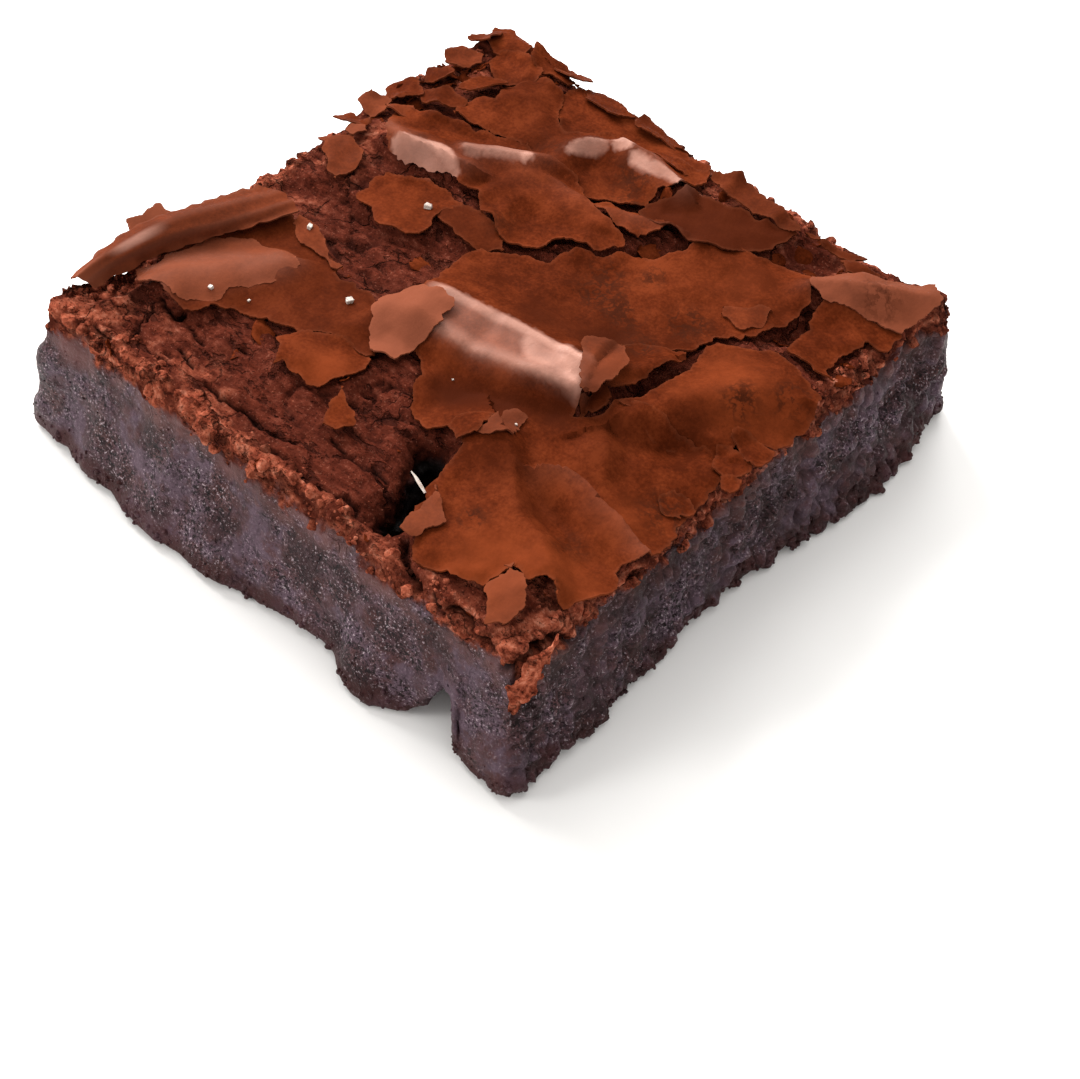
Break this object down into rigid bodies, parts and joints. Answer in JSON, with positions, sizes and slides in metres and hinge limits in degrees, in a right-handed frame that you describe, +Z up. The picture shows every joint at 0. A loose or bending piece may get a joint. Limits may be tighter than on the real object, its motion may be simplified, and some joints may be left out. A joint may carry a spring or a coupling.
{
  "type": "chocolate brownie",
  "caption": "Square of fudgy chocolate brownie cut from a tray bake, with a thin crackled crust that is buckled into folds, torn open over the crumb and curled out over one side.",
  "frame": {"origin": "middle of the footprint, on the surface that the brownie rests on", "axes": "+Z up through the crust; the smooth, fudgy cut side with the notch in its foot faces -Y, the crumbly cut side faces +X, and the crust curls out over the -X side"},
  "size_m": [0.083, 0.0854, 0.0241],
  "materials": {
    "crumb": "matte, crumbly and fudgy",
    "crust": "thin, papery crackled crust with a faint sheen on its folds",
    "salt": "small translucent grains"
  },
  "bodies": {
    "root": {"brownie": "crumb"}
  },
  "joints": []
}
